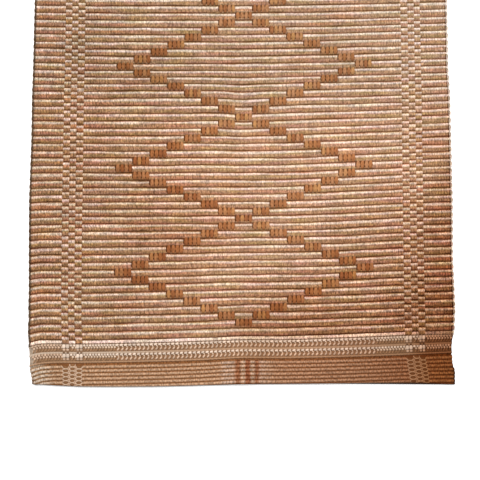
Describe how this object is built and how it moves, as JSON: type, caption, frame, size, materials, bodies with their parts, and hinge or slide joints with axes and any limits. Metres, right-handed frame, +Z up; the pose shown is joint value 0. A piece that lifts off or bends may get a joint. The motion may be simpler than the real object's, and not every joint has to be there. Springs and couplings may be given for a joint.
{
  "type": "runner rug",
  "caption": "Long flat-woven cotton runner with raised cross ribs, a stepped diamond pattern, check stripes near the selvedges and a turned hem at each end.",
  "frame": {"origin": "middle of the rug's outline, on the floor that it lies on", "axes": "+Y along the rug, away from the hem that the picture shows; +X across it, to the right in the picture; +Z up from the floor"},
  "size_m": [0.604, 1.8092, 0.0064],
  "materials": {
    "ribbed_cotton": "matte"
  },
  "bodies": {
    "root": {"runner_cloth": "ribbed_cotton"}
  },
  "joints": []
}
